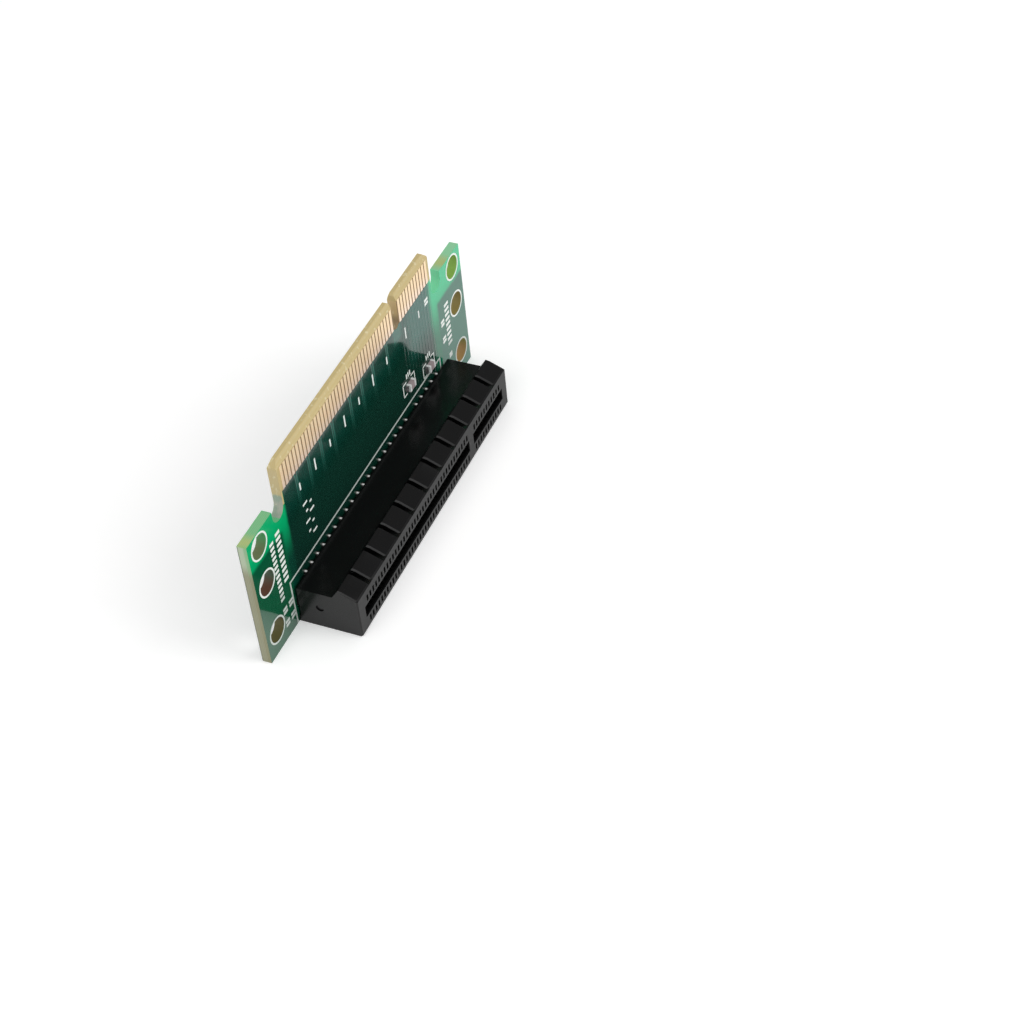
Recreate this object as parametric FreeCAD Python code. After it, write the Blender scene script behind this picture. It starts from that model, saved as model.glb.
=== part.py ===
"""Riser card for a server: an edge-connector board with a card slot soldered square to its face.

Frame: millimetres, +X along the board towards its key end, -Y out of the slot's mouth, +Z up
towards the gold edge contacts.  The origin is at the middle of the bottom of the bounding box, and
the card stands on the bottom edge of the board and the flat side of the slot housing.
"""
import FreeCAD, Part
import math
import os

# ---- Board ----
BOARD_THICK = 1.57
TAB_LENGTH = 52.2            # the plug-in tab, across both of its segments
TAB_TOP = 30.6               # height of the tab's edge above the board's bottom edge
TAB_BEVEL_HEIGHT = 1.25      # lead-in bevel along the tab's edge, on both faces
TAB_BEVEL_DEPTH = 0.45
TAB_CORNER = 1.0             # 45 degree cut on the tab's outer corners
KEY_CORNER = 0.4             # and on the corners beside the key notch
KEY_WIDTH = 1.9
KEY_BOTTOM = 24.65
EAR_WIDTH = 7.7              # the drilled ear at each end
EAR_TOP = 24.1
RELIEF_WIDTH = 3.35          # round-bottomed slot between an ear and the tab
RELIEF_BOTTOM = 21.2
HOLE_RADIUS = 2.0
HOLE_INSET = 3.15            # hole centre to the board's end
HOLE_HEIGHTS = (4.1, 14.1, 21.6)

# ---- Contacts: one every millimetre, counted from the key end ----
PITCH = 1.0
SHORT_COUNT = 11
LONG_COUNT = 38
KEY_STEP = 3.0               # between the last contact of one segment and the first of the next
END_MARGIN = 1.1             # tab's end to the nearest contact's centre
FINGER_WIDTH = 0.7
FINGER_THICK = 0.05
FINGER_BOTTOM = 25.0

# ---- Slot housing: a straight slot, standing out of the board's front face ----
HOUSING_LENGTH = 55.8
MOUTH_REACH = 10.8           # mouth face to the board's face
STANDOFF = 0.45              # gap between the moulding and the board
MOUTH_HEIGHT = 7.45
SIDE_HEIGHT = 7.1            # height of the plain side behind the ridge
RIDGE_FOOT = 6.43            # distances from the board's face to the points of a ridge block
RIDGE_TOP = 7.5
RIDGE_FLAT = 8.15
RIDGE_HEIGHT = 8.7
RIDGE_FLAT_HEIGHT = 8.6
RIDGE_COUNT = 11
RIDGE_FIRST = 3.93           # length of the block at the -X end
RIDGE_PITCH = 5.18
RIDGE_GAP = 1.0
RIDGE_EDGE = 0.25
MOUTH_EDGE = 0.4
SLOT_HEIGHT_ABOVE_BASE = 3.65
SLOT_HALF = 1.08
SLOT_DEPTH = 8.2
SLOT_KEY_WIDTH = 1.65
SLOT_END_PLAY = 0.05
WINDOW_WIDTH = 0.5
WINDOW_INNER = 1.525         # distances from the slot's middle plane
WINDOW_OUTER = 2.675
CAVITY_INNER = 1.0
LIP_THICK = 0.6
TRENCH_INNER = 0.95          # open trench in the moulding's underside, where the contacts turn out
TRENCH_OUTER = 3.3
TRENCH_TOP_DEPTH = 2.4
TRENCH_END = 0.35
DIMPLE_RADIUS = 0.65
DIMPLE_DEPTH = 0.2
DIMPLE_FROM_BOARD = 4.0
DIMPLE_HEIGHT = 4.0
PEG_RADIUS = 1.15
PEG_CLEARANCE = 0.05
PEG_PROUD = 0.35
PEG_TIP = 0.3
PEG_FROM_END = 1.2
FOOT_LENGTH = 1.5             # low feet that hold the moulding off the board
FOOT_HEIGHT = 1.2

# ---- Sprung contacts ----
CONTACT_THICK = 0.25
TAIL_OUTER = 3.15            # the two tail rows of one side, from the slot's middle plane
TAIL_INNER = 1.15
BODY_OFFSET = 2.5
BEND_DEPTH = 1.1
BODY_DEPTH = 2.25
CONTACT_POINT_OFFSET = 0.75
CONTACT_POINT_DEPTH = 8.2
TIP_OFFSET = 1.3
TIP_DEPTH = 9.1

# ---- Solder on the back ----
SOLDER_BASE_RADIUS = 0.45
SOLDER_HEIGHT = 1.0
SOLDER_SIDES = 6

# ---- Chip capacitors beside the slot ----
CHIP_LENGTH = 2.0
CHIP_WIDTH = 1.25
CHIP_HEIGHT = 0.7
CHIP_CAP_LENGTH = 0.42
CHIP_CAP_PROUD = 0.03
CHIP_LIFT = 0.04
CHIP_FILLET_REACH = 0.4
CHIP_FILLET_HEIGHT = 0.45
CHIP_PLACES = ((14.9, 12.0), (22.1, 10.15))

# ---- Worked out from the sizes above ----
BOARD_HALF = TAB_LENGTH / 2 + RELIEF_WIDTH + EAR_WIDTH
TAB_HALF = TAB_LENGTH / 2
DEPTH = MOUTH_REACH + BOARD_THICK + SOLDER_HEIGHT
BOARD_FRONT = MOUTH_REACH - DEPTH / 2
BOARD_BACK = BOARD_FRONT + BOARD_THICK
MOUTH_FACE = BOARD_FRONT - MOUTH_REACH
HOUSING_BACK = BOARD_FRONT - STANDOFF
SHORT_PINS = [TAB_HALF - END_MARGIN - PITCH * i for i in range(SHORT_COUNT)]
LONG_PINS = [SHORT_PINS[-1] - KEY_STEP - PITCH * i for i in range(LONG_COUNT)]
ALL_PINS = SHORT_PINS + LONG_PINS
KEY_MIDDLE = (SHORT_PINS[-1] + LONG_PINS[0]) / 2
HOLE_PLACES = [(side * (BOARD_HALF - HOLE_INSET), z) for side in (-1, 1) for z in HOLE_HEIGHTS]


def box(x0, x1, y0, y1, z0, z1):
    return Part.makeBox(x1 - x0, y1 - y0, z1 - z0, FreeCAD.Vector(x0, y0, z0))


def extruded_along_x(points, x0, x1):
    """A solid from a closed outline of (y, z) points, between two planes of constant x."""
    outline = Part.makePolygon([FreeCAD.Vector(x0, y, z) for y, z in points + points[:1]])
    return Part.Face(outline).extrude(FreeCAD.Vector(x1 - x0, 0, 0))


def round_along_y(radius, x, z, y0, y1):
    return Part.makeCylinder(radius, y1 - y0, FreeCAD.Vector(x, y0, z), FreeCAD.Vector(0, 1, 0))


def outward(offset):
    """Distances from the board's front face, measured out towards the mouth."""
    return BOARD_FRONT - offset


def save(node, shapes):
    shape = shapes[0] if len(shapes) == 1 else Part.makeCompound(shapes)
    shape.exportStep("parts/" + node + ".step")
    print(node, "solids", len(shape.Solids), "volume", round(shape.Volume, 3), "valid", shape.isValid())


# ---- Board: one routed sheet of laminate ----

def board_edge():
    """Outline of the board as edges, anticlockwise from its bottom corner, at the front face."""
    ear_side = TAB_HALF + RELIEF_WIDTH
    key_left = KEY_MIDDLE - KEY_WIDTH / 2
    key_right = KEY_MIDDLE + KEY_WIDTH / 2

    def point(x, z):
        return FreeCAD.Vector(x, BOARD_FRONT, z)

    def u_slot(right, left, top_right, top_left, bottom):
        """Down one side of a round-bottomed slot and up the other."""
        radius = (right - left) / 2
        middle = (right + left) / 2
        arc = Part.Arc(point(right, bottom + radius), point(middle, bottom), point(left, bottom + radius))
        return [Part.makeLine(point(right, top_right), point(right, bottom + radius)), arc.toShape(),
                Part.makeLine(point(left, bottom + radius), point(left, top_left))]

    def run(*corners):
        return [Part.makeLine(point(*a), point(*b)) for a, b in zip(corners, corners[1:])]

    edges = run((-BOARD_HALF, 0), (BOARD_HALF, 0), (BOARD_HALF, EAR_TOP), (ear_side, EAR_TOP))
    edges += u_slot(ear_side, TAB_HALF, EAR_TOP, TAB_TOP - TAB_CORNER, RELIEF_BOTTOM)
    edges += run((TAB_HALF, TAB_TOP - TAB_CORNER), (TAB_HALF - TAB_CORNER, TAB_TOP),
                 (key_right + KEY_CORNER, TAB_TOP), (key_right, TAB_TOP - KEY_CORNER))
    edges += u_slot(key_right, key_left, TAB_TOP - KEY_CORNER, TAB_TOP - KEY_CORNER, KEY_BOTTOM)
    edges += run((key_left, TAB_TOP - KEY_CORNER), (key_left - KEY_CORNER, TAB_TOP),
                 (TAB_CORNER - TAB_HALF, TAB_TOP), (-TAB_HALF, TAB_TOP - TAB_CORNER))
    edges += u_slot(-TAB_HALF, -ear_side, TAB_TOP - TAB_CORNER, EAR_TOP, RELIEF_BOTTOM)
    edges += run((-ear_side, EAR_TOP), (-BOARD_HALF, EAR_TOP), (-BOARD_HALF, 0))
    return Part.Wire(edges)


def tail_rows():
    """Each tail row: its name, its side of the slot, its offset, and the contacts that use it."""
    rows = []
    for side_name, side in (("upper", 1), ("lower", -1)):
        rows.append((side_name + "_outer", side, TAIL_OUTER, ALL_PINS[1::2]))
        rows.append((side_name + "_inner", side, TAIL_INNER, ALL_PINS[0::2]))
    return rows


def tail_height(side, offset):
    return SLOT_HEIGHT_ABOVE_BASE + side * offset


def peg_places():
    return [KEY_MIDDLE, PEG_FROM_END - HOUSING_LENGTH / 2]


def make_board():
    board = Part.Face(board_edge()).extrude(FreeCAD.Vector(0, BOARD_THICK, 0))
    cuts = []
    for face, inward in ((BOARD_FRONT, 1), (BOARD_BACK, -1)):
        bevel = [(face, TAB_TOP - TAB_BEVEL_HEIGHT), (face, TAB_TOP + 1),
                 (face + inward * TAB_BEVEL_DEPTH * (TAB_BEVEL_HEIGHT + 1) / TAB_BEVEL_HEIGHT, TAB_TOP + 1)]
        cuts.append(extruded_along_x(bevel, -TAB_HALF - 1, TAB_HALF + 1))
    for x, z in HOLE_PLACES:
        cuts.append(round_along_y(HOLE_RADIUS, x, z, BOARD_FRONT - 1, BOARD_BACK + 1))
    for x in peg_places():
        cuts.append(round_along_y(PEG_RADIUS + PEG_CLEARANCE, x, SLOT_HEIGHT_ABOVE_BASE,
                                  BOARD_FRONT - 1, BOARD_BACK + 1))
    for name, side, offset, pins in tail_rows():
        z = tail_height(side, offset)
        for x in pins:
            cuts.append(box(x - WINDOW_WIDTH / 2, x + WINDOW_WIDTH / 2, BOARD_FRONT - 1, BOARD_BACK + 1,
                            z - CONTACT_THICK / 2, z + CONTACT_THICK / 2))
    return board.cut(cuts)


def make_fingers(pins, front):
    y0 = BOARD_FRONT - FINGER_THICK if front else BOARD_BACK
    top = TAB_TOP - TAB_BEVEL_HEIGHT
    return [box(x - FINGER_WIDTH / 2, x + FINGER_WIDTH / 2, y0, y0 + FINGER_THICK, FINGER_BOTTOM, top)
            for x in pins]


# ---- Slot housing: one moulding ----

def plain_bar(x0, x1):
    """The moulding's bar, which rises a little from the ridge's foot to the mouth."""
    profile = [(HOUSING_BACK, 0), (MOUTH_FACE + MOUTH_EDGE, 0), (MOUTH_FACE, MOUTH_EDGE),
               (MOUTH_FACE, MOUTH_HEIGHT), (outward(RIDGE_FOOT), SIDE_HEIGHT), (HOUSING_BACK, SIDE_HEIGHT)]
    return extruded_along_x(profile, x0, x1)


def ridge_block(x0, x1):
    """One block of the ridge: steep behind, a short flat, then a slope down to the mouth."""
    profile = [(outward(RIDGE_FOOT), SIDE_HEIGHT), (outward(RIDGE_TOP), RIDGE_HEIGHT),
               (outward(RIDGE_FLAT), RIDGE_FLAT_HEIGHT), (MOUTH_FACE, MOUTH_HEIGHT),
               (MOUTH_FACE, SIDE_HEIGHT - 1), (outward(RIDGE_FOOT), SIDE_HEIGHT - 1)]
    block = extruded_along_x(profile, x0, x1)
    return block.makeChamfer(RIDGE_EDGE, [edge for edge in block.Edges if is_end_rim(edge, x0)])


def is_end_rim(edge, x):
    """Whether an edge is one of the upper edges of a ridge block's end."""
    ends = [vertex.Point for vertex in edge.Vertexes]
    return all(abs(point.x - x) < 1e-6 and point.z > MOUTH_HEIGHT - 0.01 for point in ends)


def slot_segments():
    """The card slot's two lengths along x, either side of the key."""
    outer = TAB_HALF + SLOT_END_PLAY
    return ((-outer, KEY_MIDDLE - SLOT_KEY_WIDTH / 2), (KEY_MIDDLE + SLOT_KEY_WIDTH / 2, outer))


def contact_cavity(x, side):
    """Window in the mouth and the chamber behind it, which opens into the card slot."""
    lip = MOUTH_FACE + LIP_THICK
    floor = outward(TRENCH_TOP_DEPTH)
    outline = [(MOUTH_FACE, WINDOW_INNER), (MOUTH_FACE, WINDOW_OUTER), (floor, WINDOW_OUTER),
               (floor, CAVITY_INNER), (lip, CAVITY_INNER), (lip, WINDOW_INNER)]
    points = [(y, SLOT_HEIGHT_ABOVE_BASE + side * u) for y, u in outline]
    return extruded_along_x(points, x - WINDOW_WIDTH / 2, x + WINDOW_WIDTH / 2)


def trench(pins, side):
    """Open trench in the moulding's underside, over one group of contacts."""
    heights = sorted(SLOT_HEIGHT_ABOVE_BASE + side * u for u in (TRENCH_INNER, TRENCH_OUTER))
    return box(min(pins) - TRENCH_END, max(pins) + TRENCH_END, outward(TRENCH_TOP_DEPTH), HOUSING_BACK,
               heights[0], heights[1])


def peg(x):
    """Locating peg through the board, with a tapered tip."""
    tip = BOARD_BACK + PEG_PROUD
    shank = round_along_y(PEG_RADIUS, x, SLOT_HEIGHT_ABOVE_BASE, HOUSING_BACK, tip - PEG_TIP)
    cone = Part.makeCone(PEG_RADIUS, PEG_RADIUS - PEG_TIP, PEG_TIP,
                         FreeCAD.Vector(x, tip - PEG_TIP, SLOT_HEIGHT_ABOVE_BASE), FreeCAD.Vector(0, 1, 0))
    return shank.fuse(cone)


def make_housing():
    half = HOUSING_LENGTH / 2
    gaps = [-half + RIDGE_FIRST + RIDGE_PITCH * i for i in range(RIDGE_COUNT - 1)]
    starts = [-half] + [gap + RIDGE_GAP for gap in gaps]
    blocks = [ridge_block(start, end) for start, end in zip(starts, gaps + [half])]
    feet = [box(x, x + FOOT_LENGTH, HOUSING_BACK, BOARD_FRONT, 0, FOOT_HEIGHT)
            for x in (-half, KEY_MIDDLE - FOOT_LENGTH / 2, half - FOOT_LENGTH)]
    solid = plain_bar(-half, half).fuse(blocks + feet + [peg(x) for x in peg_places()])
    cuts = [box(x0, x1, MOUTH_FACE - 1, MOUTH_FACE + SLOT_DEPTH, SLOT_HEIGHT_ABOVE_BASE - SLOT_HALF,
                SLOT_HEIGHT_ABOVE_BASE + SLOT_HALF) for x0, x1 in slot_segments()]
    cuts += [contact_cavity(x, side) for x in ALL_PINS for side in (1, -1)]
    cuts += [trench(pins, side) for pins in (SHORT_PINS, LONG_PINS) for side in (1, -1)]
    cuts.append(Part.makeCylinder(DIMPLE_RADIUS, 1 + DIMPLE_DEPTH,
                                  FreeCAD.Vector(-half - 1, outward(DIMPLE_FROM_BOARD), DIMPLE_HEIGHT),
                                  FreeCAD.Vector(1, 0, 0)))
    return solid.cut(cuts).removeSplitter()


# ---- Sprung contacts: formed strips, all of one section ----

def strip_outline(middle, thick):
    """Closed outline of a bent strip of even thickness from the points of its middle line."""
    normals = []
    for (ay, az), (by, bz) in zip(middle, middle[1:]):
        length = math.hypot(by - ay, bz - az)
        normals.append((-(bz - az) / length, (by - ay) / length))
    one_side, other_side = [], []
    for i, (y, z) in enumerate(middle):
        first = normals[max(i - 1, 0)]
        second = normals[min(i, len(normals) - 1)]
        scale = thick / 2 / (1 + first[0] * second[0] + first[1] * second[1])
        dy, dz = (first[0] + second[0]) * scale, (first[1] + second[1]) * scale
        one_side.append((y + dy, z + dz))
        other_side.append((y - dy, z - dz))
    return one_side + other_side[::-1]


def contact(x, side, tail_offset):
    """Tail through the board, a jog out to the chamber wall, the beam, and the curled tip."""
    middle = [(BOARD_BACK, tail_offset), (outward(BEND_DEPTH), tail_offset),
              (outward(BODY_DEPTH), BODY_OFFSET), (outward(CONTACT_POINT_DEPTH), CONTACT_POINT_OFFSET),
              (outward(TIP_DEPTH), TIP_OFFSET)]
    outline = [(y, SLOT_HEIGHT_ABOVE_BASE + side * u) for y, u in strip_outline(middle, CONTACT_THICK)]
    return extruded_along_x(outline, x - WINDOW_WIDTH / 2, x + WINDOW_WIDTH / 2)


# ---- Solder joints: a cone of solder over each clipped tail ----

def solder_joint(x, z):
    """A pyramid of flat faces, with its foot on the board."""
    turns = [2 * math.pi * i / SOLDER_SIDES for i in range(SOLDER_SIDES)]
    foot = [FreeCAD.Vector(x + SOLDER_BASE_RADIUS * math.cos(t), BOARD_BACK,
                           z + SOLDER_BASE_RADIUS * math.sin(t)) for t in turns]
    tip = FreeCAD.Vector(x, BOARD_BACK + SOLDER_HEIGHT, z)
    rims = [foot] + [[a, b, tip] for a, b in zip(foot, foot[1:] + foot[:1])]
    faces = [Part.Face(Part.makePolygon(rim + rim[:1])) for rim in rims]
    return Part.Solid(Part.Shell(faces))


# ---- Chip capacitors ----

def chip_body(x, z):
    inner = CHIP_LENGTH / 2 - CHIP_CAP_LENGTH
    return box(x - inner, x + inner, outward(CHIP_LIFT + CHIP_HEIGHT), outward(CHIP_LIFT),
               z - CHIP_WIDTH / 2, z + CHIP_WIDTH / 2)


def chip_caps(x, z):
    proud = CHIP_CAP_PROUD
    half, inner = CHIP_LENGTH / 2, CHIP_LENGTH / 2 - CHIP_CAP_LENGTH
    return [box(min(x + s * half, x + s * inner), max(x + s * half, x + s * inner),
                outward(CHIP_LIFT + CHIP_HEIGHT + proud), outward(CHIP_LIFT - proud),
                z - CHIP_WIDTH / 2 - proud, z + CHIP_WIDTH / 2 + proud) for s in (-1, 1)]


def chip_fillets(x, z):
    """Solder under each end cap and running up its end, as one wedge a side."""
    fillets = []
    lift = CHIP_LIFT - CHIP_CAP_PROUD
    for s in (-1, 1):
        end = CHIP_LENGTH / 2
        outline = [(end - CHIP_CAP_LENGTH, 0), (end + CHIP_FILLET_REACH, 0),
                   (end, CHIP_FILLET_HEIGHT), (end, lift), (end - CHIP_CAP_LENGTH, lift)]
        points = [FreeCAD.Vector(x + s * a, outward(b), z - CHIP_WIDTH / 2) for a, b in outline]
        face = Part.Face(Part.makePolygon(points + points[:1]))
        fillets.append(face.extrude(FreeCAD.Vector(0, 0, CHIP_WIDTH)))
    return fillets


def main():
    os.makedirs("parts", exist_ok=True)
    save("circuit_board", [make_board()])
    for face_name, front in (("front", True), ("back", False)):
        save("edge_fingers_" + face_name + "_short", make_fingers(SHORT_PINS, front))
        save("edge_fingers_" + face_name + "_long", make_fingers(LONG_PINS, front))
    save("slot_housing", [make_housing()])
    for name, side, offset, pins in tail_rows():
        save("contacts_" + name, [contact(x, side, offset) for x in pins])
        save("solder_" + name, [solder_joint(x, tail_height(side, offset)) for x in pins])
    for number, (x, z) in enumerate(CHIP_PLACES, 1):
        save("chip_%d_body" % number, [chip_body(x, z)])
        save("chip_%d_end_caps" % number, chip_caps(x, z))
        save("chip_%d_solder" % number, chip_fillets(x, z))


main()
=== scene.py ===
import math

import bmesh
import bpy
from mathutils import Matrix, Vector


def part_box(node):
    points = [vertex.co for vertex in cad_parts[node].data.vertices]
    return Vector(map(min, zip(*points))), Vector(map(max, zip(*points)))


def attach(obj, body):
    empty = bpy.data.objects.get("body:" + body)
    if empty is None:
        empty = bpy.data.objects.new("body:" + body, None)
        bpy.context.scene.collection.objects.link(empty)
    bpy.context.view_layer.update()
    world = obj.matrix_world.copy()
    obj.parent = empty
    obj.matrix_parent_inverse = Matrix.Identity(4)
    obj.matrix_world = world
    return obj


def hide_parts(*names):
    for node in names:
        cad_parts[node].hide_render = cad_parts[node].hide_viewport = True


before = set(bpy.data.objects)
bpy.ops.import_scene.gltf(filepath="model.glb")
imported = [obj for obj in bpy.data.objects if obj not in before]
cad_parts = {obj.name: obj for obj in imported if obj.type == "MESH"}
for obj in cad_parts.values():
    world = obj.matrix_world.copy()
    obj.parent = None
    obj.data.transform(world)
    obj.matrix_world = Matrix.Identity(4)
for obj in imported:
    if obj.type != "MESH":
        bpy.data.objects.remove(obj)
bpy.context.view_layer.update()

MM = 0.001


# ---- The circuit board ----
# One sheet of glass-fibre laminate, 1.6 mm thick, routed to shape and coated green on both faces.
# The coating stops below the gold contacts, so the tab and every routed edge are bare laminate.

class Signal:
    """A socket of a material's nodes, so that shader maths reads as arithmetic."""

    def __init__(self, finish, socket):
        self.finish = finish
        self.socket = socket

    def maths(self, operation, *others):
        values = dict(enumerate((self,) + others))
        return self.finish.node("ShaderNodeMath", {"operation": operation}, values)

    def __add__(self, other):
        return self.maths("ADD", other)

    def __sub__(self, other):
        return self.maths("SUBTRACT", other)

    def __rsub__(self, other):
        return (self * -1) + other

    def __mul__(self, other):
        return self.maths("MULTIPLY", other)

    def __abs__(self):
        return self.maths("ABSOLUTE")

    def most(self, other):
        return self.maths("MAXIMUM", other)

    def above(self, level, blur=0.0):
        """1 where the signal is over a level, 0 under it, with a soft step as wide as the blur."""
        if not blur:
            return self.maths("GREATER_THAN", level)
        return self.finish.node("ShaderNodeMapRange", {"interpolation_type": "SMOOTHSTEP"},
                                {0: self, 1: level - blur / 2, 2: level + blur / 2})

    def below(self, level, blur=0.0):
        return 1 - self.above(level, blur)

    def between(self, low, high, blur=0.0):
        return self.above(low, blur) * self.below(high, blur)


class Tree:
    """The nodes of a material or of the world."""

    def __init__(self, owner):
        owner.use_nodes = True
        self.nodes = owner.node_tree.nodes
        self.links = owner.node_tree.links

    def node(self, kind, settings, inputs, output=0):
        """Adds a node with its settings, then values or links for its sockets, and gives one output."""
        node = self.nodes.new(kind)
        for name, value in settings.items():
            setattr(node, name, value)
        for name, value in inputs.items():
            self.feed(node.inputs[name], value)
        return Signal(self, node.outputs[output])

    def feed(self, socket, value):
        """Links a signal to a socket, or sets the socket's own value."""
        if isinstance(value, Signal):
            self.links.new(value.socket, socket)
        elif hasattr(value, "__len__") and socket.type == "RGBA":
            socket.default_value = (*value, 1)
        else:
            socket.default_value = value

    def axes(self, place):
        """The three coordinates of a place, as separate signals."""
        return (self.node("ShaderNodeSeparateXYZ", {}, {0: place}, axis) for axis in "XYZ")

    def mix(self, factor, first, second):
        """One colour where the factor is 0, the other where it is 1."""
        return self.node("ShaderNodeMix", {"data_type": "RGBA"}, {0: factor, 6: first, 7: second}, 2)


class Finish(Tree):
    """A material, with the place on the part in millimetres."""

    def __init__(self, name):
        self.material = bpy.data.materials.new(name)
        super().__init__(self.material)
        self.shader = self.nodes["Principled BSDF"]
        place = self.node("ShaderNodeTexCoord", {}, {}, "Object")
        self.place = self.node("ShaderNodeVectorMath", {"operation": "SCALE"},
                               {0: place, "Scale": 1 / MM})
        self.x, self.y, self.z = self.axes(self.place)

    def noise(self, scale, detail, roughness=0.5, stretch=(1, 1, 1)):
        """Noise from 0 to 1; the scale is in features per millimetre."""
        place = self.node("ShaderNodeMapping", {}, {"Vector": self.place, "Scale": stretch})
        return self.node("ShaderNodeTexNoise", {},
                         {"Vector": place, "Scale": scale, "Detail": detail, "Roughness": roughness})

    def bump(self, height, distance_mm, strength):
        """A normal that follows a height from 0 to 1, over a distance in millimetres."""
        inputs = {"Height": height, "Distance": distance_mm * MM, "Strength": strength}
        return self.node("ShaderNodeBump", {}, inputs, "Normal")

    def surface(self, **sockets):
        """Sets the shader's own sockets: Base_Color stands for Base Color, and so on."""
        for name, value in sockets.items():
            self.feed(self.shader.inputs[name.replace("_", " ")], value)
        return self.material


def give(node, material):
    """A carried-over CAD node takes this material."""
    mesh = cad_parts[node].data
    mesh.materials.clear()
    mesh.materials.append(material)


board_low, board_high = (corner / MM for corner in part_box("circuit_board"))
FRONT, BACK = board_low.y, board_high.y
tab_low, tab_high = (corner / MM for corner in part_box("edge_fingers_front_long"))
short_low, short_high = (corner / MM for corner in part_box("edge_fingers_front_short"))
FINGER_HALF = 0.35            # half the width of an edge contact
HALF_PITCH = 0.5              # half the distance between two contacts
COATING_TOP = tab_low.z
KEY_MIDDLE = (tab_high.x + short_low.x) / 2
TAB_HALF = 26.1               # the tab reaches this far to each side
BEVEL_START = board_high.z - 1.3              # the tab's edge is bevelled above this
MARGIN_BOTTOM = 22.6          # lower end of the bare margin at the tab's left side
EAR_START = 29.6              # an edge beyond this belongs to an ear, and otherwise to the tab's side
EAR_TOP = 24.0                # an ear's edge above this is its upper edge
HOLE_INSET = 3.15             # from the board's end to the middles of an ear's three holes
HOLE_MIDDLE = board_high.x - HOLE_INSET
LOWER_HOLE, CENTRE_HOLE, UPPER_HOLE = 4.1, 14.1, 21.6
HOLE_RADIUS = 2.0
COPPER_LEFT, COPPER_RIGHT = -25.7, 25.3       # the board is full of copper between these
EAR_COPPER_START = 27.6       # and again from here outwards, up to the next height
EAR_COPPER_TOP = 19.0
BARE_LAMINATE = (0.56, 0.435, 0.187)


def off_contact(f):
    """Distance from the nearest contact's centre line; the contacts are 1 mm apart."""
    gap_middle = tab_high.x - FINGER_HALF - HALF_PITCH
    return abs((f.x - gap_middle).maths("FRACT") - HALF_PITCH)


def coating_colour(f):
    """Green coating: dark over copper, bright where light comes through bare laminate."""
    wander = f.noise(0.5, 2) * 0.3
    height = f.z + wander
    across = f.x + wander
    right = f.x.above(0)
    # Without copper, light from behind shows through the laminate: a painted backlight, brighter near
    # the top and at the right, darker lower down where the back lies in shade.
    dim = f.mix(right, (0.003, 0.055, 0.033), (0.003, 0.17, 0.085))
    bright = f.mix(right, (0.002, 0.45, 0.16), (0.010, 0.54, 0.24))
    copper_free = f.mix(height.above(17.0, 10), dim, bright)
    # Over copper it is nearly black, painted lighter near the top and darker lower down as shade near
    # the housing, a little greener beyond the key, and painted darkest in the notches between the
    # contacts' feet as shade.
    over_copper = f.mix(height.above(20.5, 5), (0.003, 0.033, 0.021), (0.003, 0.050, 0.034))
    beyond_key = f.x.above(17.0, 4) * height.above(16, 6)
    over_copper = f.mix(beyond_key, over_copper, (0.007, 0.105, 0.078))
    # Painted shade: a dark band in the notches between the contacts' lower ends.
    notch_shade = off_contact(f).above(0.30, 0.08) * f.z.above(COATING_TOP - 0.4, 0.4)
    over_copper = f.mix(notch_shade * 0.8, over_copper, (0.004, 0.008, 0.008))
    copper_field = across.above(COPPER_LEFT, 0.9) * across.below(COPPER_RIGHT, 2.2)
    colour = f.mix(copper_field, copper_free, over_copper)
    ear_field = abs(across).above(EAR_COPPER_START, 0.9) * height.below(EAR_COPPER_TOP, 1.0)
    colour = f.mix(ear_field, colour, f.mix(right, (0.003, 0.100, 0.042), (0.012, 0.145, 0.090)))
    key_patch = abs(across - KEY_MIDDLE).below(1.4, 1.2) * height.above(22.4, 1.4)
    return f.mix(key_patch * 0.8, colour, (0.02, 0.14, 0.10))


def routed_edge_colour(f, depth):
    """Bare laminate on the edges: tan at the tab, green and beige at the ears."""
    cloud = f.noise(0.6, 2)
    # The ears' outer sides, greener near the top and near the front, with a dark line at the back.
    side = f.mix(f.z.above(19.5, 3), (0.26, 0.265, 0.165), (0.43, 0.54, 0.38))
    near_front = depth.below(0.55, 0.5)
    front_side = f.mix(f.z.above(18.5, 3), (0.20, 0.19, 0.09), (0.15, 0.42, 0.18))
    side = f.mix(near_front * 0.7, side, front_side)
    side = f.mix(depth.above(1.42, 0.1), side, (0.14, 0.15, 0.12))
    # The ears' upper edges, green, with an amber spot just left of the holes.  The left ear is laid
    # over the right one, so one sum places both spots.
    on_right_ear = f.x + f.x.below(0) * (2 * HOLE_MIDDLE)
    amber = abs(on_right_ear - (HOLE_MIDDLE - 1.4) + cloud * 1.5).below(1.3, 2.2)
    green_top = f.mix(f.x.above(0), (0.15, 0.49, 0.22), (0.22, 0.60, 0.33))
    side = f.mix(f.z.above(EAR_TOP), side, f.mix(amber, green_top, (0.38, 0.50, 0.17)))
    # Slot walls: tan above; lower down grey where the tab's side is seen, with paler patches that are a
    # painted reflection from the slot's rounded bottom.
    slot_wall = f.mix(cloud.above(0.5, 0.3), (0.26, 0.36, 0.29), (0.42, 0.43, 0.38))
    slot_wall = f.mix(f.z.above(EAR_TOP + 0.3, 0.6), slot_wall, (0.56, 0.44, 0.215))
    # Painted shade: the key slot's wall is darker in its lower part.
    key_wall = f.mix(f.z.above(26.2, 1.6), (0.36, 0.26, 0.15), (0.64, 0.47, 0.225))
    slot_wall = f.mix(abs(f.x - KEY_MIDDLE).below(1.3), slot_wall, key_wall)
    # Painted light coming through the ear's laminate: the ears' sides of the slots are green.
    slot_wall = f.mix(f.x.above(TAB_HALF + 0.3), slot_wall, (0.16, 0.78, 0.42))
    slot_wall = f.mix(f.x.below(-TAB_HALF - 1.5), slot_wall, (0.10, 0.48, 0.22))
    tab = f.mix(f.z.above(BEVEL_START - 0.1, 0.3), slot_wall, BARE_LAMINATE)
    return f.mix(abs(f.x).above(EAR_START), tab, side)


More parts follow.
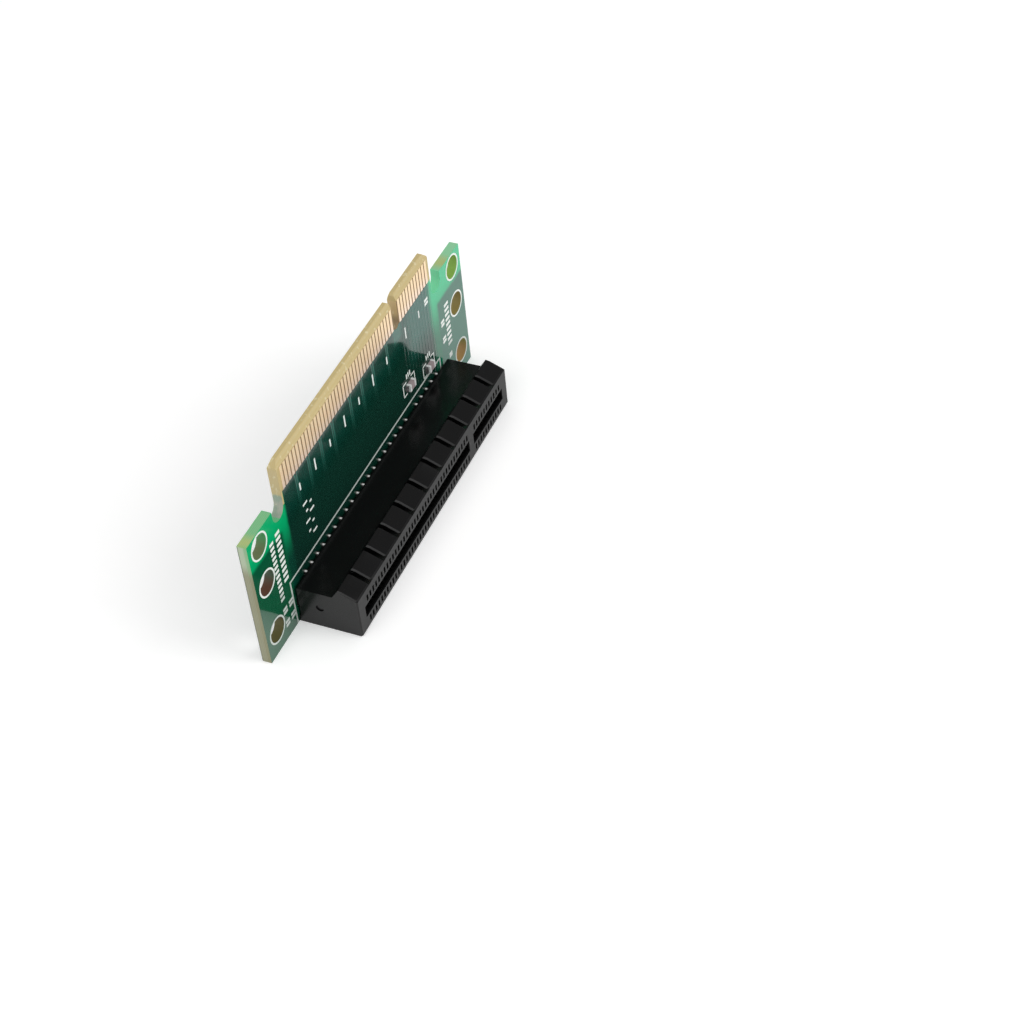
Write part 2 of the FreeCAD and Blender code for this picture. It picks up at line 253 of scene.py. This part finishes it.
def hole_wall_colour(f):
    """Drilled walls of resin, in bands by height that differ from hole to hole and between the ears:
    painted light and shade on the curved walls, greenish near the top and browner lower down.
    """
    left = f.x.below(0)
    upper = f.mix(f.z.above(UPPER_HOLE - 1.0, 2.0), (0.17, 0.20, 0.09), (0.07, 0.33, 0.10))
    upper = f.mix(left, (0.27, 0.47, 0.08), upper)
    centre = f.mix(f.z.above(CENTRE_HOLE - 1.1, 2.0), (0.120, 0.045, 0.020), (0.045, 0.085, 0.040))
    centre = f.mix(left, (0.28, 0.22, 0.06), centre)
    lower_right = f.mix(f.z.above(LOWER_HOLE - 0.1, 2.0), (0.38, 0.23, 0.08), (0.32, 0.31, 0.08))
    lower = f.mix(f.z.above(LOWER_HOLE + 0.3, 1.2), (0.11, 0.10, 0.022), (0.07, 0.045, 0.02))
    lower = f.mix(left, lower_right, lower)
    colour = f.mix(f.z.above((LOWER_HOLE + CENTRE_HOLE) / 2), lower, centre)
    return f.mix(f.z.above((CENTRE_HOLE + UPPER_HOLE) / 2), colour, upper)


def coated_board():
    f = Finish("coated_laminate")
    depth = f.y - FRONT
    middle = (BACK - FRONT) / 2
    face = abs(depth - middle).above(middle - 0.02)
    # The coating also leaves a narrow margin bare along the tab's left side.
    tab_margin = f.x.between(-TAB_HALF - 0.2, -TAB_HALF + 0.35) * f.z.above(MARGIN_BOTTOM)
    coated = face * f.z.below(COATING_TOP) * (1 - tab_margin)
    between_fingers = f.z.below(BEVEL_START, 0.1) * abs(f.x).below(TAB_HALF - 0.8)
    bare_face = f.mix(between_fingers, BARE_LAMINATE, (0.22, 0.125, 0.05))
    edge = f.mix(face, routed_edge_colour(f, depth), bare_face)
    # Layers of glass cloth show on the routed edges, with painted glints of the glass weave here and
    # there.
    layers = f.node("ShaderNodeTexWave", {"bands_direction": "Y", "wave_type": "BANDS"},
                    {"Vector": f.place, "Scale": 1.1, "Distortion": 1.5, "Detail": 2.0,
                     "Detail Scale": 3.0})
    edge = f.mix(layers * 0.2 * (1 - face), edge, (0.60, 0.56, 0.36))
    painted_weave_glints = f.noise(1.6, 2, 0.5, (1, 1, 0.5))
    painted_weave_glints = painted_weave_glints.above(0.64, 0.06) * (1 - face) * abs(f.x).below(TAB_HALF + 0.1)
    edge = f.mix(painted_weave_glints * 0.4, edge, (0.80, 0.76, 0.52))
    reach = HOLE_RADIUS + 0.2
    near_holes = abs(abs(f.x) - HOLE_MIDDLE).below(reach)
    in_hole = (1 - face) * near_holes * f.z.between(LOWER_HOLE - reach, UPPER_HOLE + reach)
    edge = f.mix(in_hole, edge, hole_wall_colour(f))
    colour = f.mix(coated, edge, coating_colour(f))
    rough = 0.45 - coated * 0.37
    normal = f.bump(f.noise(1.3, 2) * coated * 0.6 + layers * (1 - coated) * 0.5, 0.012, 0.35)
    return f.surface(Base_Color=colour, Roughness=rough, Normal=normal, IOR=1.53)


give("circuit_board", coated_board())


# ---- Copper tracks under the coating ----
# Etched copper 35 microns thick, coated over, so only soft ridges show.  Each pair of tracks runs
# from two neighbouring edge contacts, closes up, and goes down to the slot's tails.

CONTACTS = 49                 # on each face, counted from the right end
SHORT_CONTACTS = 11           # those beyond the key
PAIRS = ((14, 15), (19, 20), (23, 24), (27, 28), (33, 34), (37, 38), (41, 42), (45, 46))
BACK_PAIRS = ((16, 17), (21, 22), (25, 26), (29, 30), (35, 36), (39, 40), (43, 44), (47, 48))
WIDE_SINGLES = 3              # each of the short segment's contacts has a single track, the first wider
PAIR_LIFT = 0.006
SINGLE_LIFT = 0.02            # the single tracks stand out more than the pairs
PAIR_WIDTH = 0.40
WIDE_WIDTH = 0.34
NARROW_WIDTH = 0.22
EDGE_SLOPE = 0.6              # the share of a track's half width that its sloped edge takes
PAIR_HALF = 0.24              # half the distance between the two tracks of a pair
CLOSED_TOP, CLOSED_BOTTOM = 24.2, 10.6        # they run side by side between these heights
SPREAD_BOTTOM = 9.2           # and are back in line with their contacts here
TRACK_END = 7.2


def new_piece(name, bm, material):
    """Turns a bmesh in millimetres into a finished piece that rides on the board."""
    bmesh.ops.scale(bm, vec=(MM, MM, MM), verts=bm.verts)
    mesh = bpy.data.meshes.new(name)
    bm.to_mesh(mesh)
    bm.free()
    mesh.materials.append(material)
    piece = bpy.data.objects.new(name, mesh)
    bpy.context.scene.collection.objects.link(piece)
    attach(piece, "root")
    return piece


def outward(face):
    """The way out of the board along Y, from its front face or its back face."""
    return -1 if face == FRONT else 1


def corners_of(made):
    """The corners among what a bmesh operation made."""
    return [g for g in made if isinstance(g, bmesh.types.BMVert)]


def ribbon(bm, stops, width, face, lift):
    """A flat raised strip through (x, z) stops on a board face, narrower at the top than below."""
    x, z = stops[0]
    ends = [bm.verts.new((x + side * width / 2, face, z)) for side in (-1, 1)]
    edge = bm.edges.new(ends)
    strip = []
    for (x0, z0), (x1, z1) in zip(stops, stops[1:]):
        made = bmesh.ops.extrude_edge_only(bm, edges=[edge])["geom"]
        moved = corners_of(made)
        bmesh.ops.translate(bm, verts=moved, vec=(x1 - x0, 0, z1 - z0))
        edge = bm.edges.get(moved)
        strip += [g for g in made if isinstance(g, bmesh.types.BMFace)]
    top = corners_of(bmesh.ops.extrude_face_region(bm, geom=strip)["geom"])
    bmesh.ops.translate(bm, verts=top, vec=(0, outward(face) * lift, 0))
    for vert in top:
        middle = min(stops, key=lambda stop: abs(stop[1] - vert.co.z))[0]
        vert.co.x += (middle - vert.co.x) * EDGE_SLOPE


def pin_x(number):
    """Where a numbered contact is; the short segment has the first numbers."""
    if number <= SHORT_CONTACTS:
        return short_high.x - FINGER_HALF - (number - 1)
    return tab_high.x - FINGER_HALF - (number - SHORT_CONTACTS - 1)


def coating_over_tracks():
    """The same coating, paler over the tracks near the contacts and alike lower down: partly the
    lighter look of coating over copper, partly a painted sheen of light on the tracks' sides.
    """
    f = Finish("coating_over_tracks")
    paler_coat_and_sheen = f.z.above(20.5, 7)
    colour = f.mix(paler_coat_and_sheen * 0.7, coating_colour(f), (0.012, 0.125, 0.09))
    return f.surface(Base_Color=colour, Roughness=0.14, IOR=1.53)


over_tracks = coating_over_tracks()


def tracks(name, pairs, face):
    bm = bmesh.new()
    for first, second in pairs:
        middle = (pin_x(first) + pin_x(second)) / 2
        for number, side in ((first, 1), (second, -1)):
            near = middle + side * PAIR_HALF
            x = pin_x(number)
            stops = [(x, COATING_TOP), (near, CLOSED_TOP), (near, CLOSED_BOTTOM), (x, SPREAD_BOTTOM),
                     (x, TRACK_END)]
            ribbon(bm, stops, PAIR_WIDTH, face, PAIR_LIFT)
    for number in range(1, SHORT_CONTACTS + 1):
        x = pin_x(number)
        width = WIDE_WIDTH if number <= WIDE_SINGLES else NARROW_WIDTH
        ribbon(bm, [(x, COATING_TOP), (x, TRACK_END)], width, face, SINGLE_LIFT)
    bmesh.ops.recalc_face_normals(bm, faces=bm.faces)
    new_piece(name, bm, over_tracks)


tracks("front_tracks", PAIRS, FRONT)
tracks("back_tracks", BACK_PAIRS, BACK)


# ---- Solder pads round the slot's tails ----
# Round copper pads with a coat of tin, on both faces of the board, one round each of the 98 plated
# holes.  The coating leaves them free, and the slot's tails go through their middles.

def tinned(name, dark, light, rough, metallic=1.0):
    """A cloudy coat of tin or solder, between two greys."""
    f = Finish(name)
    grain = f.noise(3.0, 4)
    colour = f.mix(grain, dark, light)
    return f.surface(Base_Color=colour, Metallic=metallic, Roughness=grain * 0.15 + rough,
                     Normal=f.bump(grain, 0.02, 0.3))


pad_tin = tinned("pad_tin", (0.30, 0.29, 0.27), (0.45, 0.45, 0.43), 0.08)
TAIL_ROWS = ("upper_outer", "upper_inner", "lower_outer", "lower_inner")
PAD_RADIUS = 0.49             # the lowest row is 0.5 mm above the board's bottom edge
PAD_THICK = 0.03


def row_places(row, y):
    """A place for each tail of a row: even contacts in the outer rows, odd ones in the inner."""
    low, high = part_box("solder_" + row)
    height = (low.z + high.z) / 2 / MM
    first = 2 if row.endswith("outer") else 1
    return [Vector((pin_x(number), y, height)) for number in range(first, CONTACTS + 1, 2)]


def pads(name, face):
    bm = bmesh.new()
    facing = Matrix.Rotation(math.radians(90), 4, "X")
    thickness = outward(face) * PAD_THICK
    for row in TAIL_ROWS:
        for place in row_places(row, face + thickness):
            disc = bmesh.ops.create_circle(bm, cap_ends=True, segments=16, radius=PAD_RADIUS,
                                           matrix=Matrix.Translation(place) @ facing)["verts"]
            edges = [e for e in bm.edges if all(v in disc for v in e.verts)]
            rim = bmesh.ops.extrude_edge_only(bm, edges=edges)["geom"]
            bmesh.ops.translate(bm, verts=corners_of(rim), vec=(0, -thickness, 0))
    bmesh.ops.recalc_face_normals(bm, faces=bm.faces)
    new_piece(name, bm, pad_tin)


pads("front_pads", FRONT)
pads("back_pads", BACK)


# ---- White ink on the board ----
# Screen-printed epoxy ink, a few hundredths of a millimetre thick, over the green coating.
# Rings round the six holes, the slot's outline, a tick at every fifth contact, and plain marks.

def ink():
    f = Finish("white_ink")
    patch = f.noise(1.6, 4)
    # Painted shade: the ink low on the board, near the housing, is darker.
    high = f.z.above(9.2, 0.4)
    thin = f.mix(high, (0.58, 0.64, 0.60), (0.86, 0.92, 0.86))
    thick = f.mix(high, (0.70, 0.74, 0.70), (0.96, 0.98, 0.95))
    colour = f.mix(patch, thin, thick)
    return f.surface(Base_Color=colour, Roughness=0.45, Normal=f.bump(patch, 0.01, 0.3))


white_ink = ink()
INK_THICK = 0.025
RING_INNER = HOLE_RADIUS + 0.02
RING_OUTER = HOLE_RADIUS + 0.33
OUTLINE_LEFT, OUTLINE_RIGHT = -28.6, 26.2     # the outline of the slot, open at the bottom
OUTLINE_BOTTOM, OUTLINE_TOP = 0.05, 8.47
OUTLINE_WIDTH = 0.32
LONG_TICKS = (20.7, 22.9)     # lower and upper end of the ticks at each tenth contact
SHORT_TICKS = (21.0, 22.4)    # and of those halfway between
TICK_HALF = 0.17              # half the width of a tick, and of the bars beside the chips
FRAME_REACH = 2.1             # from a chip's middle to the ends of the frame printed round it
FRAME_RISE = 1.15             # and to its long sides, which break off at the gap
FRAME_GAP = 0.85
FRAME_HALF = 0.1              # half the width of a frame's line
MARK_LEFTS = (-0.7, -0.1, 0.5)                # three bars over a chip, from its middle
MARK_WIDTH = 0.3
MARK_ENDS = (1.6, 2.5)
# A column of bars: its middle, lower end, upper end, length of a bar, and step.
EAR_COLUMNS = ((-31.05, 7.5, 19.8, 1.1, 0.95), (-29.1, 9.9, 19.9, 1.3, 1.05),
               (30.45, 8.3, 17.3, 1.5, 1.0))
BAR_SHARE = 0.55              # the share of a step that the bar takes
DOUBLE_BARS = ((-31.0, 5.3), (-29.2, 5.3), (-31.0, 2.7), (-29.2, 2.7), (28.6, 14.0), (28.6, 10.6),
               (23.9, 22.1))
DOUBLE_HALF = 0.6             # half the length and height of a double bar
DOUBLE_GAP = 0.1              # half the gap in it
BLOCK = (29.6, 30.7, 5.7, 6.7)
LONG_BAR, SHORT_BAR = 1.3, 0.6
SIDE_BARS = ((-20.6, 17.9, LONG_BAR), (-19.0, 17.1, SHORT_BAR), (-20.4, 16.3, SHORT_BAR),
             (-19.0, 15.5, LONG_BAR), (-20.6, 14.3, LONG_BAR), (-19.2, 13.3, SHORT_BAR),
             (-20.6, 12.3, SHORT_BAR), (-19.2, 11.3, LONG_BAR))


def bar(bm, x0, x1, z0, z1):
    """One printed bar, as a thin slab standing out of the board's front face."""
    size = Matrix.Diagonal((x1 - x0, INK_THICK, z1 - z0, 1))
    place = Matrix.Translation(((x0 + x1) / 2, FRONT - INK_THICK / 2, (z0 + z1) / 2))
    bmesh.ops.create_cube(bm, size=1, matrix=place @ size)


def spin_line(bm, centre, line, closing, steps):
    """Spins a line of (radius, y) points round an axis through the centre, square to the board."""
    start = [bm.verts.new(centre + Vector((radius, y, 0))) for radius, y in line]
    after = start[1:] + start[:1] if closing else start[1:]
    edges = [bm.edges.new(pair) for pair in zip(start, after)]
    bmesh.ops.spin(bm, geom=start + edges, cent=centre, axis=(0, 1, 0), angle=math.tau, steps=steps,
                   use_merge=True)


def merge_corners(bm):
    bmesh.ops.remove_doubles(bm, verts=bm.verts, dist=0.0005)


def hole_rings(name, face):
    """A flat ring round each of the six holes, on one face of the board."""
    bm = bmesh.new()
    top = outward(face) * INK_THICK
    section = ((RING_INNER, 0), (RING_INNER, top), (RING_OUTER, top), (RING_OUTER, 0))
    for side in (-1, 1):
        for z in (LOWER_HOLE, CENTRE_HOLE, UPPER_HOLE):
            spin_line(bm, Vector((side * HOLE_MIDDLE, face, z)), section, closing=True, steps=48)
    merge_corners(bm)
    bmesh.ops.recalc_face_normals(bm, faces=bm.faces)
    new_piece(name, bm, white_ink)


hole_rings("front_hole_rings", FRONT)
hole_rings("back_hole_rings", BACK)


def slot_outline():
    """A line above the slot and one down each side of it."""
    bm = bmesh.new()
    bar(bm, OUTLINE_LEFT, OUTLINE_RIGHT, OUTLINE_TOP, OUTLINE_TOP + OUTLINE_WIDTH)
    bar(bm, OUTLINE_LEFT, OUTLINE_LEFT + OUTLINE_WIDTH, OUTLINE_BOTTOM, OUTLINE_TOP)
    bar(bm, OUTLINE_RIGHT - OUTLINE_WIDTH, OUTLINE_RIGHT, OUTLINE_BOTTOM, OUTLINE_TOP)
    new_piece("slot_outline", bm, white_ink)


slot_outline()


def contact_ticks():
    """A tick below every fifth contact, longer at every tenth."""
    bm = bmesh.new()
    for first, ends in ((10, LONG_TICKS), (5, SHORT_TICKS)):
        for number in range(first, CONTACTS + 1, 10):
            bar(bm, pin_x(number) - TICK_HALF, pin_x(number) + TICK_HALF, *ends)
    new_piece("contact_ticks", bm, white_ink)


contact_ticks()


def chip_outlines():
    """A broken frame round each chip capacitor, and three short bars above it."""
    bm = bmesh.new()
    for node in ("chip_1_body", "chip_2_body"):
        low, high = (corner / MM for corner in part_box(node))
        x, z = (low.x + high.x) / 2, (low.z + high.z) / 2
        for side in (-1, 1):
            outer, inner = x + side * FRAME_REACH, x + side * FRAME_GAP
            bar(bm, outer - FRAME_HALF, outer + FRAME_HALF, z - FRAME_RISE, z + FRAME_RISE)
            for line in (z - FRAME_RISE, z + FRAME_RISE):
                bar(bm, min(outer, inner), max(outer, inner), line - FRAME_HALF, line + FRAME_HALF)
        for left in MARK_LEFTS:
            bar(bm, x + left, x + left + MARK_WIDTH, z + MARK_ENDS[0], z + MARK_ENDS[1])
    new_piece("chip_outlines", bm, white_ink)


chip_outlines()


def plain_marks():
    """Columns of short bars on the ears and beside the slot, which say nothing."""
    bm = bmesh.new()
    for x, z, end, length, step in EAR_COLUMNS:
        while z < end:
            bar(bm, x - length / 2, x + length / 2, z, z + step * BAR_SHARE)
            z += step
    for x, z in DOUBLE_BARS:
        bar(bm, x - DOUBLE_HALF, x + DOUBLE_HALF, z - DOUBLE_HALF, z - DOUBLE_GAP)
        bar(bm, x - DOUBLE_HALF, x + DOUBLE_HALF, z + DOUBLE_GAP, z + DOUBLE_HALF)
    bar(bm, *BLOCK)
    for x, z, length in SIDE_BARS:
        bar(bm, x - length / 2, x + length / 2, z - TICK_HALF, z + TICK_HALF)
    new_piece("plain_marks", bm, white_ink)


plain_marks()


# ---- Gold edge contacts ----
# Copper fingers plated with nickel and a thin hard gold, 0.7 mm wide at 1 mm pitch on both faces.
# They are slightly scuffed along their length from the socket.

def gold():
    f = Finish("hard_gold")
    scuff = f.noise(2.0, 4, 0.6, (6, 6, 0.4))
    cloud = f.noise(0.35, 2)
    colour = f.mix(cloud, (0.93, 0.68, 0.42), (0.96, 0.76, 0.53))
    colour = f.mix(f.z.below(26.3, 1.6) * 0.6, colour, (0.94, 0.77, 0.67))
    colour = f.mix(f.z.above(28.2, 1.2) * 0.5, colour, (0.92, 0.74, 0.44))
    colour = f.mix(scuff.above(0.66, 0.1) * 0.4, colour, (0.80, 0.72, 0.62))
    return f.surface(Base_Color=colour, Metallic=1.0, Roughness=scuff * 0.2 + 0.2,
                     Normal=f.bump(scuff, 0.01, 0.3))


hard_gold = gold()
for fingers in ("front_short", "front_long", "back_short", "back_long"):
    give("edge_fingers_" + fingers, hard_gold)


# ---- The slot housing ----
# One black glass-filled nylon moulding: a trough for the card, a window for each contact in the
# mouth, and a ridge of eleven blocks along the upper side.  Its corners are a little rounded.

MOUTH_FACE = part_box("slot_housing")[0].y / MM
EASED = 0.05                  # how far the outer edges are rounded back
SHARP = math.radians(30)
FLAT = math.radians(1)
OPENINGS_HALF = 27.5          # the windows and the card slot lie within these
OPENINGS_BOTTOM, OPENINGS_TOP = 0.45, 6.9


def moulded_black():
    f = Finish("black_moulding")
    grain = f.noise(4.5, 4, 0.6)
    flow = f.noise(0.18, 3, 0.5, (0.4, 1, 1))
    colour = f.mix(flow, (0.0020, 0.0021, 0.0022), (0.0034, 0.0034, 0.0036))
    mouth = f.y.below(MOUTH_FACE + 0.3)
    return f.surface(Base_Color=colour, Roughness=grain * 0.08 + 0.15 + flow * 0.06 + mouth * 0.24,
                     IOR=1.37, Normal=f.bump(grain, 0.006, 0.5))


black = moulded_black()


def within_openings(corner):
    """Whether a corner is on a window or the card slot, whose edges stay crisp."""
    return abs(corner.x) < OPENINGS_HALF and OPENINGS_BOTTOM < corner.z < OPENINGS_TOP


def outer_edge(edge):
    if len(edge.link_faces) != 2 or edge.calc_face_angle() <= SHARP:
        return False
    return not all(within_openings(vert.co) for vert in edge.verts)


def rounded_housing():
    """The housing's own shape, merged, with its sharp edges eased."""
    bm = bmesh.new()
    bm.from_mesh(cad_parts["slot_housing"].data)
    bmesh.ops.scale(bm, vec=(1 / MM, 1 / MM, 1 / MM), verts=bm.verts)
    bmesh.ops.remove_doubles(bm, verts=bm.verts, dist=0.002)
    bmesh.ops.dissolve_limit(bm, angle_limit=FLAT, verts=bm.verts, edges=bm.edges)
    outer = [edge for edge in bm.edges if outer_edge(edge)]
    bmesh.ops.bevel(bm, geom=outer, offset=EASED, offset_type="OFFSET", affect="EDGES", segments=2,
                    profile=0.5, material=-1, clamp_overlap=True)
    return new_piece("slot_moulding", bm, black)


moulding = rounded_housing()
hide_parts("slot_housing")


# ---- The slot's spring contacts ----
# Strips stamped from copper alloy, one behind each window.  They have gold on the sprung beam inside
# the slot, and bright tin on the tails that pass through the board.

TAIL_LENGTH = 1.6             # the tin reaches this far from the board's front face


def contact_metal():
    """Gold on the beams, painted dark towards the mouth as shade; on the tails, tin with a painted
    highlight along the crown of each strip and painted shade at its sides.
    """
    f = Finish("contact_metal")
    grain = f.noise(3.0, 3)
    crown_highlight = off_contact(f).below(0.16, 0.06)
    tail = f.mix(crown_highlight, (0.16, 0.16, 0.15), (0.97, 0.97, 0.96))
    # Painted shade: the beams are darker towards the mouth, deep in the housing.
    beam = f.mix(f.y.below(FRONT - 6.0, 3.0), (0.30, 0.21, 0.10), (0.05, 0.035, 0.018))
    inside = f.y.below(FRONT - TAIL_LENGTH, 0.6)
    return f.surface(Base_Color=f.mix(inside, tail, beam), Metallic=inside * 0.55 + 0.15, Roughness=0.4,
                     Normal=f.bump(grain, 0.01, 0.3))


spring_metal = contact_metal()
for row in TAIL_ROWS:
    give("contacts_" + row, spring_metal)


# ---- Solder joints on the back ----
# Tin solder, which climbed each clipped tail while it was liquid and holds the slot to the board.
# Each joint is wide at the pad, hollow-sided, and rounded at the tip.

solder = tinned("solder_tin", (0.62, 0.62, 0.60), (0.82, 0.82, 0.81), 0.24)
# The outline of a joint, as (radius, distance from the board's back face).
JOINT_PROFILE = ((0.45, 0.0), (0.42, 0.08), (0.30, 0.28), (0.215, 0.55), (0.19, 0.85), (0.14, 0.96),
                 (0.0, 1.0))


def joints(row):
    """The row of joints that stands for the plainer solder of the same row."""
    bm = bmesh.new()
    for place in row_places(row, BACK):
        spin_line(bm, place, JOINT_PROFILE, closing=False, steps=12)
    merge_corners(bm)
    bmesh.ops.holes_fill(bm, edges=[e for e in bm.edges if e.is_boundary])
    bmesh.ops.recalc_face_normals(bm, faces=bm.faces)
    for face in bm.faces:
        face.smooth = True
    piece = new_piece("solder_joints_" + row, bm, solder)
    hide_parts("solder_" + row)


for row in TAIL_ROWS:
    joints(row)


# ---- Chip capacitors ----
# Two small blocks of fired ceramic with metal-plated ends, placed on the front of the board.
# A fillet of solder holds each end.

def ceramic():
    f = Finish("chip_ceramic")
    speck = f.noise(5.0, 4)
    colour = f.mix(speck, (0.27, 0.21, 0.215), (0.46, 0.38, 0.39))
    return f.surface(Base_Color=colour, Roughness=0.35, Normal=f.bump(speck, 0.01, 0.4))


chip_ceramic = ceramic()
cap_tin = tinned("cap_tin", (0.90, 0.91, 0.90), (0.98, 0.98, 0.97), 0.35, 0.3)
for chip in ("chip_1", "chip_2"):
    give(chip + "_body", chip_ceramic)
    give(chip + "_end_caps", cap_tin)
    give(chip + "_solder", solder)


# ---- Floor, light and camera ----
# A pale floor under the card, soft light from above and in front, and a camera that looks down on
# the card from its left.

FLOOR_HALF = 4.0
FLOOR_DROP = 0.00002          # a hair below the part, so that their faces don't coincide
WHITE = (1, 1, 1)
floor_mesh = bpy.data.meshes.new("floor")
bm = bmesh.new()
bmesh.ops.create_grid(bm, x_segments=1, y_segments=1, size=FLOOR_HALF,
                      matrix=Matrix.Translation((0, 0, -FLOOR_DROP)))
bm.to_mesh(floor_mesh)
bm.free()
floor = bpy.data.objects.new("floor", floor_mesh)
bpy.context.scene.collection.objects.link(floor)
paper = Finish("pale_floor")
seen = paper.node("ShaderNodeLightPath", {}, {}, "Is Camera Ray")
mirrored = paper.node("ShaderNodeLightPath", {}, {}, "Is Glossy Ray")
whitened = paper.mix(seen.most(mirrored), (0, 0, 0), WHITE)
paper.surface(Base_Color=(0.86, 0.86, 0.86), Roughness=0.9, Emission_Color=whitened,
              Emission_Strength=0.30)
floor_mesh.materials.append(paper.material)

# The room is white to the camera and near the horizon, and dim overhead where it is only mirrored.
world = bpy.data.worlds.new("studio")
bpy.context.scene.world = world
sky = Tree(world)
heading = sky.node("ShaderNodeTexCoord", {}, {}, "Generated")
rise = list(sky.axes(heading))[2]
seen = sky.node("ShaderNodeLightPath", {}, {}, "Is Camera Ray")
mirrored = sky.node("ShaderNodeLightPath", {}, {}, "Is Glossy Ray")
overhead = sky.mix(rise.above(0.2, 0.4), WHITE, (0.32, 0.32, 0.32))
light = sky.mix(mirrored, (0.62, 0.62, 0.62), overhead)
light = sky.mix(seen, light, WHITE)
sky.feed(sky.nodes["Background"].inputs["Color"], light)


def soft_lamp(name, place, size, power):
    """A round lamp that is turned towards the part."""
    data = bpy.data.lights.new(name, "AREA")
    data.shape = "DISK"
    data.size = size
    data.energy = power
    lamp = bpy.data.objects.new(name, data)
    lamp.location = place
    lamp.rotation_euler = (-Vector(place)).to_track_quat("-Z", "Y").to_euler()
    bpy.context.scene.collection.objects.link(lamp)


soft_lamp("key_lamp", (0.07, -0.53, 0.46), 0.4, 1.7)
soft_lamp("side_lamp", (-0.53, 0.035, 0.45), 0.46, 0.9)

CAMERA_PLACE = (-0.21232, -0.126955, 0.23242)
CAMERA_HEADING, CAMERA_TILT, CAMERA_ROLL = (math.radians(a) for a in (62.918, 43.575, -6.075))
camera_data = bpy.data.cameras.new("camera")
camera_data.sensor_width = 36
camera_data.lens = 75.83
camera_data.clip_start = 0.01
camera = bpy.data.objects.new("camera", camera_data)
bpy.context.scene.collection.objects.link(camera)
camera.matrix_world = (Matrix.Translation(CAMERA_PLACE) @ Matrix.Rotation(-CAMERA_HEADING, 4, "Z")
                       @ Matrix.Rotation(math.pi / 2 - CAMERA_TILT, 4, "X")
                       @ Matrix.Rotation(CAMERA_ROLL, 4, "Z"))
bpy.context.scene.camera = camera
bpy.context.scene.view_settings.view_transform = "Standard"
